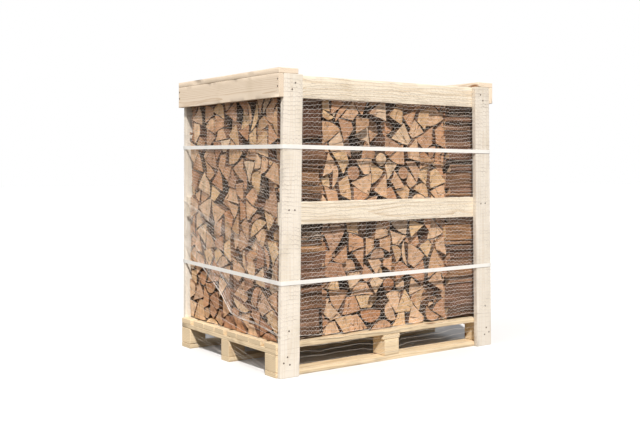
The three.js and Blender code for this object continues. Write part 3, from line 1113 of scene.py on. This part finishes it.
@dataclass
class Kindling:
    """Thin sticks pushed into the holes that a stack leaves, most of all beside its walls."""

    width: float
    height: float
    cell: float = 3.0 * MM
    tries: int = 20
    beside: float = 75 * MM  # a hole nearer to a wall than this is filled even if it is small
    small: float = 8.0 * MM  # radius of the smallest hole filled beside a wall
    large: float = 27.0 * MM  # radius of the smallest hole filled elsewhere

    def covered(self, outline: Array, shape: tuple[int, int]) -> tuple[slice, slice, Array]:
        """The cells whose middles lie inside an outline.

        Args:
            outline: Points round a section.
            shape: Rows and columns of cells.

        Returns:
            The rows and columns round the outline, and which of those cells it covers.
        """
        low = np.maximum((outline.min(axis=0) / self.cell).astype(int) - 1, 0)
        high = np.minimum((outline.max(axis=0) / self.cell).astype(int) + 2, shape[::-1])
        x, y = np.meshgrid(*((np.arange(low[i], high[i]) + 0.5) * self.cell for i in range(2)))
        inside = np.zeros(x.shape, bool)
        for (start_x, start_y), (end_x, end_y) in zip(outline, np.roll(outline, -1, axis=0)):
            if start_y != end_y:
                at = start_x + (y - start_y) * (end_x - start_x) / (end_y - start_y)
                inside ^= ((start_y > y) != (end_y > y)) & (x < at)
        return slice(low[1], high[1]), slice(low[0], high[0]), inside

    @staticmethod
    def room(free: Array) -> Array:
        """How many steps each free cell is from the nearest taken one."""
        depth = np.zeros(free.shape, int)
        left = free.copy()
        while left.any():
            depth += left
            core = np.zeros_like(left)
            core[1:-1, 1:-1] = left[1:-1, 1:-1] & left[:-2, 1:-1] & left[2:, 1:-1]
            core[1:-1, 1:-1] &= left[1:-1, :-2] & left[1:-1, 2:]
            left = core
        return depth

    def stick(self, free: Array, middle: Array, rng: np.random.Generator) -> tuple[float, LaidLog] | None:
        """Finds the largest stick that goes in a hole.

        Args:
            free: The free cells.
            middle: The middle of the hole.
            rng: The source of chance.

        Returns:
            The stick's area and the stick, or None.
        """
        steps = np.arange(-4, 5) * self.cell
        nudges = np.stack(np.meshgrid(steps, steps), axis=2).reshape(-1, 1, 2)
        rows, columns = free.shape
        best = None
        for _ in range(self.tries):
            section = LogSection.draw((Cleft.WEDGE, Cleft.BILLET, Cleft.HEARTLESS)[rng.integers(3)], rng)
            outline = section.turned(rng.uniform(0, 2 * math.pi))
            outline = outline - outline.mean(axis=0)
            after = np.roll(outline, -1, axis=0)
            area = abs(float((outline[:, 0] * after[:, 1] - outline[:, 1] * after[:, 0]).sum())) / 2
            dense = np.concatenate([outline, (outline + after) / 2])
            for scale in np.arange(0.95, 0.14, -0.08):
                if best is not None and area * scale**2 <= best[0]:
                    break
                index = np.floor((middle + nudges + dense * scale) / self.cell).astype(int)
                x, y = index[..., 0], index[..., 1]
                within = (x >= 0) & (x < columns) & (y >= 0) & (y < rows)
                fits = (within & free[np.clip(y, 0, rows - 1), np.clip(x, 0, columns - 1)]).all(axis=1)
                if fits.any():
                    nudge = nudges[int(np.argmax(fits)), 0]
                    small = LogSection(section.points * scale, section.bark)
                    best = (area * scale**2, LaidLog(small, outline * scale + middle + nudge))
                    break
        return best

    def fill(self, logs: list[LaidLog], skyline: Array, rng: np.random.Generator) -> list[LaidLog]:
        """Fills the holes.

        Args:
            logs: The logs that are laid.
            skyline: The height of the stack, column by column.
            rng: The source of chance.

        Returns:
            The sticks.
        """
        shape = int(self.height / self.cell), int(self.width / self.cell)
        under = np.interp(np.arange(shape[1]), np.linspace(0, shape[1] - 1, len(skyline)), skyline)
        free = (np.arange(shape[0])[:, None] + 0.5) * self.cell < under
        for log in logs:
            rows, columns, inside = self.covered(log.outline, shape)
            free[rows, columns] &= ~inside
        from_wall = np.minimum(np.arange(shape[1]), np.arange(shape[1])[::-1]) * self.cell
        needed = np.where(from_wall < self.beside, self.small, self.large) / self.cell
        sticks: list[LaidLog] = []
        for _ in range(150):
            spare = self.room(free) - needed
            row, column = np.unravel_index(int(np.argmax(spare)), shape)
            if spare[row, column] < 0:
                break
            found = self.stick(free, (np.array([column, row]) + 0.5) * self.cell, rng)
            if found is None:
                free[max(0, row - 2) : row + 3, max(0, column - 2) : column + 3] = False
                continue
            stick = found[1]
            beside = from_wall[column] < self.beside
            stick.sunk = (rng.uniform(0, 14) if beside else rng.uniform(40, 90)) * MM
            sticks.append(stick)
            rows, columns, inside = self.covered(stick.outline, shape)
            free[rows, columns] &= ~inside
        return sticks


@dataclass
class LogStack:
    """A stack of split logs, in place of a plain node."""

    node: str
    facing: Facing  # the face of the crate that its sawn ends look out of
    seed: int
    log_length: float = 250 * MM
    nearest: float = 3 * MM  # how far back every sawn end stands at least
    uneven: float = 18 * MM  # how much further back most of them stand at most
    set_back: float = 0.2  # share of the logs that stand well back in the shade of the rest
    deepest: float = 48 * MM
    spread: float = 0.0  # how far the stack reaches in between the ends of the logs beside it
    ragged: float = 0.0  # how much shorter some logs are at their hidden end
    stations: int = 8

    def build(self, materials: list[bpy.types.Material]) -> bpy.types.Object:
        """Stacks the logs and joins them to one piece.

        Args:
            materials: For sawn ends, split faces and bark.

        Returns:
            The piece.
        """
        low, high = (np.array(corner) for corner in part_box(self.node))
        out = np.array([*self.facing.value, 0.0])
        level = np.cross([0.0, 0.0, 1.0], out)
        width = float(abs((high - low) @ level)) + 2 * self.spread
        depth = float(abs((high - low) @ out))
        middle = (low + high) / 2
        corner = middle + out * depth / 2 - level * width / 2
        corner[2] = low[2]
        rng = np.random.default_rng(self.seed + 1)
        shell = Shell()
        stacker = Stacker(width, float(high[2] - low[2]), self.seed)
        logs = stacker.lay()
        sticks = Kindling(stacker.width, stacker.height).fill(logs, stacker.skyline, rng)
        LOG.info("%s: %d logs and %d sticks", self.node, len(logs), len(sticks))
        for log in logs + sticks:
            self.add_log(shell, log, rng, (corner, out, level, depth))
        return finish_piece(shell.build(self.node + "_logs", materials), "split_logs", self.node)

    def add_log(
        self,
        shell: Shell,
        log: LaidLog,
        rng: np.random.Generator,
        place: tuple[Array, Array, Array, float],
    ) -> None:
        """Adds one log.

        Args:
            shell: The mesh that it joins.
            log: Its section and place.
            rng: The source of chance.
            place: The lower left corner of the stack's end plane, its outward and level directions, and
                the stack's depth.
        """
        corner, out, level, depth = place
        back = self.nearest + self.uneven * rng.random() + log.sunk
        if rng.random() < self.set_back and not log.sunk:
            back += rng.uniform(0.25, 1.0) * self.deepest
        length = min(self.log_length * rng.uniform(0.96, 1.0), depth - back - 1 * MM)
        length -= self.ragged * rng.random()
        count = len(log.outline)
        shape = (self.stations, count)
        along = np.linspace(0, 1, self.stations)  # 0 at the hidden end, 1 at the one that shows
        centre = log.outline.mean(axis=0)
        spokes = log.outline - centre
        rough = np.where(log.section.bark, 1.8, 1.1) * MM
        inward = np.abs(slow_noise(rng, shape, 4)) * rough / np.linalg.norm(spokes, axis=1)
        scale = (1 - rng.uniform(0, 0.03) * (1 - along))[:, None] * (1 - inward)
        swing = rng.normal(0, 0.008, 2)
        plane = centre + spokes * scale[..., None] + ((along - 1) * length)[:, None, None] * swing
        # The saw's cut is seldom quite square to the log.
        slope = spokes @ rng.normal(0, 0.035, 2)
        depths = -back - (1 - along[:, None]) * length + np.abs(2 * along[:, None] - 1) ** 3 * slope
        depths = np.clip(depths, -depth, 0.0)
        up = np.array([0.0, 0.0, 1.0])
        rings = corner + depths[..., None] * out + plane[..., :1] * level + plane[..., 1:] * up
        grain = np.zeros_like(rings)
        grain[..., 0] = along[:, None] * length + rng.uniform(0, 30)
        grain[..., 1:] = log.section.points * scale[..., None]
        tint = even_tint(shape, rng)
        tint[..., 2] = log.section.bark | np.roll(log.section.bark, 1)
        shell.loft(rings, grain, tint, np.where(log.section.bark, 2, 1))


@dataclass
class Load:
    """All the split logs: a stack across each end, and three rows between them."""

    sawn: SawnEndGrain
    split: SplitHardwood
    bark: FurrowedBark

    def build(self) -> None:
        """Stacks and dresses the load."""
        materials = [finish.material() for finish in (self.sawn, self.split, self.bark)]
        # The end stacks are ragged inside, and the rows' outermost logs reach in between their ends.
        ragged, between = 42 * MM, 20 * MM
        stacks = [
            LogStack(
                "log_stack_left",
                Facing.LEFT,
                305,
                nearest=1 * MM,
                uneven=10 * MM,
                deepest=45 * MM,
                ragged=ragged,
            ),
            LogStack("log_stack_right", Facing.RIGHT, 310, ragged=ragged),
            LogStack("log_row_front", Facing.FRONT, 320, deepest=60 * MM, spread=between),
            LogStack("log_row_middle", Facing.FRONT, 330),
            LogStack("log_row_back", Facing.BACK, 340, deepest=25 * MM, spread=between),
        ]
        for stack in stacks:
            stack.build(materials)


# ---- Netting and straps -------------------------------------------------------------------------


@dataclass
class Hoop:
    """The skin round the four posts that the netting lies on."""

    model: PackedModel
    clear: float = 0.15 * MM
    corners: Array = field(init=False)  # low and high end of each post's outer corner

    def __post_init__(self) -> None:
        """Reads the outer corners of the posts, in order round the crate."""
        rows = []
        for face, side in (("front", "left"), ("front", "right"), ("back", "right"), ("back", "left")):
            points = self.model.points(f"post_{face}_{side}")
            out = np.array([-1 if side == "left" else 1, -1 if face == "front" else 1])
            ends = []
            for limit in (points[:, 2].min(), points[:, 2].max()):
                near = points[np.abs(points[:, 2] - limit) < 0.2 * MM]
                reach = (near[:, :2] * out).max(axis=0) * out + out * self.clear
                ends.append([*reach, limit])
            rows.append(ends)
        self.corners = np.array(rows)

    def length(self, face: int) -> float:
        """The length of a face, in metres."""
        return float(np.linalg.norm(self.corners[(face + 1) % 4, 1] - self.corners[face, 1]))

    def place(self, face: int, along: Array, height: Array) -> Array:
        """Points on one face of the skin.

        Args:
            face: 0 front, 1 right, 2 back, 3 left.
            along: 0 to 1 from the face's first post to its next.
            height: Height above the ground.

        Returns:
            The points.
        """
        ends = []
        for corner in (face, (face + 1) % 4):
            low, high = self.corners[corner]
            share = (height - low[2]) / (high[2] - low[2])
            ends.append(low[:2] + (high[:2] - low[:2]) * share[:, None])
        level = ends[0] + (ends[1] - ends[0]) * along[:, None]
        return np.concatenate([level, height[:, None]], axis=1)


@dataclass
class Thread:
    """A thin tape laid along a path."""

    radius: float
    flat: float = 0.6  # its thickness over its width
    sides: int = 3

    def add_to(self, shell: Shell, path: Array, out: Array) -> None:
        """Adds the thread to a mesh.

        Args:
            shell: The mesh.
            path: The points that it runs through.
            out: A direction that is never along the path.
        """
        tangent = np.gradient(path, axis=0)
        tangent /= np.linalg.norm(tangent, axis=1)[:, None]
        across = np.cross(tangent, out)
        across /= np.linalg.norm(across, axis=1)[:, None]
        proud = np.cross(across, tangent)
        turn = np.arange(self.sides) * 2 * math.pi / self.sides
        rings = path[:, None] + (
            proud[:, None] * (np.cos(turn) * self.radius * self.flat)[:, None]
            - across[:, None] * (np.sin(turn) * self.radius)[:, None]
        )
        shell.loft(rings, rings.copy(), np.zeros((*rings.shape[:2], 4)))


@dataclass
class KnittedNet:
    """Netting knitted of thin tape: level pillars, and a tape that runs in zigzag between them.

    On the left its tail is pulled down into two bundles, with the meshes fanned out between them.
    """

    hoop: Hoop
    finish: KnittedTape
    pitch: float = 17 * MM  # between pillars
    low_pitch: float = 22 * MM  # between them at the foot of the net, over the pallet
    stitch: float = 12.5 * MM  # half a zigzag
    foot: float = 24 * MM  # the lowest pillar over the pallet
    loose_pitch: float = 21 * MM  # between the strands that hang below the lower bundle
    loose_strands: int = 22
    fan_strands: int = 16
    pillar: Thread = field(default_factory=lambda: Thread(0.7 * MM))
    lace: Thread = field(default_factory=lambda: Thread(0.44 * MM))
    pulled_pillar: Thread = field(default_factory=lambda: Thread(0.55 * MM))  # where the net is stretched
    pulled_lace: Thread = field(default_factory=lambda: Thread(0.36 * MM))
    strand: Thread = field(default_factory=lambda: Thread(0.4 * MM, flat=1.0, sides=4))
    stray: Thread = field(default_factory=lambda: Thread(0.36 * MM, flat=1.0))

    def drift(self, around: Array, height: Array | float) -> Array:
        """How far the knitting wanders up and down, round the crate."""
        turn = 2 * math.pi * around
        slow = 5.0 * np.sin(5 * turn + height * 4.0) + 3.0 * np.sin(13 * turn - height * 9.0 + 1.0)
        return (slow + 1.6 * np.sin(31 * turn + height * 21.0)) * MM

    def build(self) -> None:
        """Knits one piece for each face, and the tail."""
        material = self.finish.material()
        lengths = [self.hoop.length(face) for face in range(4)]
        total = sum(lengths)
        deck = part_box("deck_board_1")[1].z + 3 * MM
        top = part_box("rail_front_top")[1].z
        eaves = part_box("side_board_left")[0].z - 3 * MM
        even = np.arange(deck + self.pitch, top, self.pitch)
        low = np.append(np.arange(self.foot, deck, self.low_pitch), even[0])
        for face, name in enumerate(("front", "right", "back", "left")):
            rng = np.random.default_rng(100 + face)
            steps = 2 * round(lengths[face] / self.stitch / 2)
            along = np.linspace(0, 1, steps + 1)
            around = (sum(lengths[:face]) + along * lengths[face]) / total
            heights = even if name in ("front", "back") else even[even < eaves]
            rows = [np.full_like(along, height) for height in heights]
            if name == "left":
                rows = self.fanned(along, heights, eaves)
            shell = Shell()
            pulled = self.pulled_pillar, self.pulled_lace
            threads = pulled if name == "left" else (self.pillar, self.lace)
            self.knit(shell, face, (along, around), rows, threads, rng)
            if name == "left":
                self.add_tail(shell, face, along, rng)
            elif name != "right":
                # Over the pallet the lace is torn away, and only thin pillars are left.
                foot = [np.full_like(along, height) for height in low]
                self.knit(shell, face, (along, around), foot, (self.stray, None), rng)
            finish_piece(shell.build(f"net_{name}", [material], 80.0), "net", "net")

    def fanned(self, along: Array, heights: Array, eaves: float) -> list[Array]:
        """Rows of the left face: level at the top, and slanting more and more towards the bundles.

        Args:
            along: 0 to 1 from the back post to the front one.
            heights: Heights of the rows at the front post.
            eaves: The underside of the side board.

        Returns:
            The height of each row along the face.
        """
        upper, lower = self.bundle_lines(along)
        rows = []
        for height in heights:
            if height > upper[-1]:
                share = (height - upper[-1]) / (eaves - upper[-1])
                rows.append(upper + share * (eaves - upper))
            elif height > lower[-1]:
                share = (height - lower[-1]) / (upper[-1] - lower[-1])
                rows.append(lower + share * (upper - lower))
        return rows

    def bundle_lines(self, along: Array) -> tuple[Array, Array]:
        """Heights of the tail's two bundles, from the back post to the front one."""
        upper = np.interp(along, (0, 0.25, 0.54, 1), (0.678, 0.611, 0.546, 0.488))
        stops = (0, 0.13, 0.25, 0.42, 0.53, 0.59, 0.79, 1)
        lower = np.interp(along, stops, (0.48, 0.43, 0.373, 0.292, 0.215, 0.203, 0.195, 0.17))
        return upper, lower

    def add_tail(self, shell: Shell, face: int, along: Array, rng: np.random.Generator) -> None:
        """Lays the strands of the net's loose end: two bundles, and a fan of strands that cross.

        Args:
            shell: The mesh.
            face: The face's number.
            along: 0 to 1 along the face.
            rng: The source of chance.
        """
        out = np.array([*list(Facing)[face].value, 0.0])
        upper, lower = self.bundle_lines(along)
        lines: list[tuple[Array, float, Thread]] = []
        for number in range(6):
            turn = 2 * math.pi * number / 6
            twist = np.sin(turn + along * 17.0)
            lift = 1.0 + math.cos(turn) * 0.6
            lines.append((upper + twist * (3.0 + 24.0 * along**1.5) * MM, lift, self.stray))
            if number % 2:
                lines.append((lower + twist * 2.6 * MM, lift, self.strand))
        for number in range(self.fan_strands):
            share = (number + rng.uniform(0, 1)) / self.fan_strands
            shift = along * rng.choice([-0.28, 0.0, 0.22]) + rng.normal(0, 0.01)
            where = np.clip(share + shift, 0.0, 1.0)
            lines.append((lower + (upper - lower) * where, rng.uniform(0.4, 1.2), self.stray))
        for number in range(self.loose_strands):  # the last meshes hang below the lower bundle
            start = lower[0] - (number + rng.uniform(0.2, 0.8)) * self.loose_pitch
            loose = np.minimum(start - rng.uniform(0.10, 0.16) * along, lower - 5 * MM)
            lines.append((loose, rng.uniform(0.2, 0.8), self.stray))
        for height, lift, thread in lines:
            wandering = height + self.jitter(rng, len(along)) * 0.7
            path = self.hoop.place(face, along, wandering) + out * (0.6 + lift) * MM
            shown = int(np.argmax(wandering < 12 * MM)) or len(along)
            if shown > 2:
                thread.add_to(shell, path[:shown], out)

    def jitter(self, rng: np.random.Generator, count: int) -> Array:
        """Unevenness of one row: stray stitches, and longer sags."""
        stops = np.arange(0, count + 8, 8)
        sags = np.interp(np.arange(count), stops, rng.normal(0, 1.6, len(stops)))
        return (sags + rng.normal(0, 0.6, count)) * MM

    def knit(
        self,
        shell: Shell,
        face: int,
        across: tuple[Array, Array],
        rows: list[Array],
        threads: tuple[Thread, Thread | None],
        rng: np.random.Generator,
    ) -> None:
        """Knits the rows of one face.

        Args:
            shell: The mesh.
            face: The face's number.
            across: 0 to 1 along the face, and the same places as shares of the way round the crate.
            rows: Heights of the pillars there.
            threads: For the pillars, and for the lace between them where it isn't torn.
            rng: The source of chance.
        """
        pillar, lace = threads
        along, around = across
        rows = [row + self.drift(around, float(row.mean())) for row in rows]
        out = np.array([*list(Facing)[face].value, 0.0])
        odd = np.arange(len(along)) % 2 == 1
        ripple = np.where(odd, 0.5, -0.5) * MM
        rows = [row + ripple + self.jitter(rng, len(row)) for row in rows]
        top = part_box("rail_front_top")[1].z
        rows = [np.clip(row, 8 * MM, top) for row in rows]
        for number, row in enumerate(rows):
            pillar.add_to(shell, self.hoop.place(face, along, row), out)
            if lace and number + 1 < len(rows):
                zigzag = np.where(odd, row, rows[number + 1])
                lace.add_to(shell, self.hoop.place(face, along, zigzag), out)


@dataclass
class Strap:
    """A plastic strap pulled tight round the crate, in place of a plain band."""

    model: PackedModel
    node: str
    material: bpy.types.Material
    width: float = 16.5 * MM
    thick: float = 0.9 * MM
    corner: float = 1.6 * MM
    station: float = 30 * MM

    def build(self) -> bpy.types.Object:
        """Bends the strap round the crate.

        Returns:
            The piece.
        """
        points = self.model.points(self.node)
        turns = []
        for away in ((-1, -1), (1, -1), (1, 1), (-1, 1)):
            reach = points[:, :2] @ np.array(away)
            near = points[reach > reach.max() - 2 * MM]
            outer = (near[:, :2] * away).max(axis=0) * away
            turns.append(np.array([*outer, (near[:, 2].min() + near[:, 2].max()) / 2]))
        path: list[Array] = []
        outward: list[Array] = []
        for number, face in enumerate(Facing):
            first, last = turns[number], turns[(number + 1) % 4]
            out = np.array([*face.value, 0.0])
            reach = float(np.linalg.norm(last - first))
            inset = self.corner / reach
            for share in np.linspace(inset, 1 - inset, round(reach / self.station) + 1):
                path.append(first + (last - first) * share)
                outward.append(out)
            bend = out + np.array([*list(Facing)[(number + 1) % 4].value, 0.0])
            bend /= np.linalg.norm(bend)
            path.append(last - bend * self.corner * 0.41)
            outward.append(bend)
        line, out = np.array(path), np.array(outward)
        half = self.width / 2
        section = np.array([(0.0, -half), (-self.thick, -half), (-self.thick, half), (0.0, half)])
        rings = line[:, None] + out[:, None] * section[:, :1]
        rings[..., 2] += section[:, 1]
        travelled = np.concatenate([[0.0], np.cumsum(np.linalg.norm(np.diff(line, axis=0), axis=1))])
        grain = np.zeros_like(rings)
        grain[..., 0] = travelled[:, None]
        grain[..., 1] = section[:, 1]
        shell = Shell()
        shell.loft(rings, grain, np.zeros((*rings.shape[:2], 4)), closed=True)
        return finish_piece(shell.build(self.node + "_band", [self.material]), "strap", self.node)


# ---- Studio -------------------------------------------------------------------------------------


@dataclass
class Studio:
    """Floor, light and camera."""

    eye: tuple[float, float, float] = (-2.547, -3.388, 0.841)
    heading: float = -35.93  # degrees, turned from +Y
    lens: float = 50.77
    shift: float = -0.0753
    sun_from: tuple[float, float, float] = (-0.51, -0.893, 1.0)
    sun_strength: float = 3.9
    fill_from: tuple[float, float, float] = (-1.0, 0.15, 0.75)
    fill_strength: float = 0.6
    sky_strength: float = 0.41

    def build(self) -> None:
        """Sets the stage."""
        self.add_camera()
        self.add_light()
        self.add_floor()

    def add_camera(self) -> None:
        """Sets up the camera."""
        camera = bpy.data.cameras.new("studio_camera")
        camera.lens = self.lens
        camera.sensor_width = 36.0
        camera.shift_y = self.shift
        stand = bpy.data.objects.new("studio_camera", camera)
        stand.location = self.eye
        stand.rotation_euler = (math.radians(90), 0.0, math.radians(self.heading))
        bpy.context.scene.collection.objects.link(stand)
        bpy.context.scene.camera = stand

    def add_light(self) -> None:
        """Sets up a clear key light, a broad fill from the left and a white sky."""
        scene = bpy.context.scene
        self.hang_lamp("key_light", self.sun_from, self.sun_strength, 1.5)
        self.hang_lamp("fill_light", self.fill_from, self.fill_strength, 50.0)
        scene.world = bpy.data.worlds.new("studio_world")
        scene.world.use_nodes = True
        tree = scene.world.node_tree
        sky = tree.nodes["Background"]
        sky.inputs["Color"].default_value = (1.0, 1.0, 1.0, 1.0)
        # The backdrop is white, and its light softer.
        seen = add_node(tree, "LightPath").outputs["Is Camera Ray"]
        strength = add_node(tree, "MapRange", {0: seen, 3: self.sky_strength, 4: 1.0}).outputs[0]
        tree.links.new(strength, sky.inputs["Strength"])
        scene.view_settings.view_transform = "Standard"
        scene.view_settings.look = "None"

    def hang_lamp(
        self, name: str, source: tuple[float, float, float], strength: float, spread_degrees: float
    ) -> None:
        """Hangs a far lamp.

        Args:
            name: Its name.
            source: The direction that its light comes from.
            strength: Its strength.
            spread_degrees: How wide it looks from the crate.
        """
        lamp = bpy.data.lights.new(name, "SUN")
        lamp.energy = strength
        lamp.angle = math.radians(spread_degrees)
        lamp.color = linear("#fffaf3")[:3]
        stand = bpy.data.objects.new(name, lamp)
        stand.rotation_euler = (-Vector(source)).to_track_quat("-Z", "Y").to_euler()
        bpy.context.scene.collection.objects.link(stand)

    def add_floor(self, reach: float = 30.0) -> None:
        """Lays a plain pale floor.

        Args:
            reach: How far it runs each way.
        """
        mesh = bpy.data.meshes.new("studio_floor")
        corners = [(-reach, -reach, 0.0), (reach, -reach, 0.0), (reach, reach, 0.0), (-reach, reach, 0.0)]
        mesh.from_pydata(corners, [], [(0, 1, 2, 3)])
        mesh.materials.append(MattPaper("matt_studio_paper").material())
        floor = bpy.data.objects.new("studio_floor", mesh)
        bpy.context.scene.collection.objects.link(floor)


def main() -> None:
    """Builds the crate's pieces in order."""
    logging.basicConfig(level=logging.INFO, format="%(name)s: %(message)s")
    model = PackedModel(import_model()["nodes"])
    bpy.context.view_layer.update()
    Studio().build()
    Pallet(model, SawnSoftwood("sawn_pine", early="#f2ddbb", late="#c39c6c")).build()
    posts = SawnSoftwood(
        "sawn_spruce_posts", early="#f6eee2", late="#e0ccb2", contrast=0.5, knot="#d3b795"
    )
    rails = SawnSoftwood("sawn_spruce_rails", early="#f7ecd9", contrast=1.0, knot_gap_mm=600.0)
    boards = SawnSoftwood(
        "sawn_spruce_boards", early="#fcebd6", late="#cfae8a", ring_mm=5.0, contrast=0.9
    )
    CrateFrame(model, posts, rails, boards).build()
    Load(
        SawnEndGrain("sawn_hardwood_end_grain"),
        SplitHardwood("split_hardwood"),
        FurrowedBark("furrowed_bark"),
    ).build()
    KnittedNet(Hoop(model), KnittedTape("knitted_polyethylene_tape")).build()
    strap = EmbossedStrap("embossed_polypropylene_strap").material()
    for node in ("strap_upper", "strap_lower"):
        Strap(model, node, strap).build()
    Nails(model, WireNailSteel("bright_wire_nail_steel")).build()


if __name__ == "__main__":
    main()
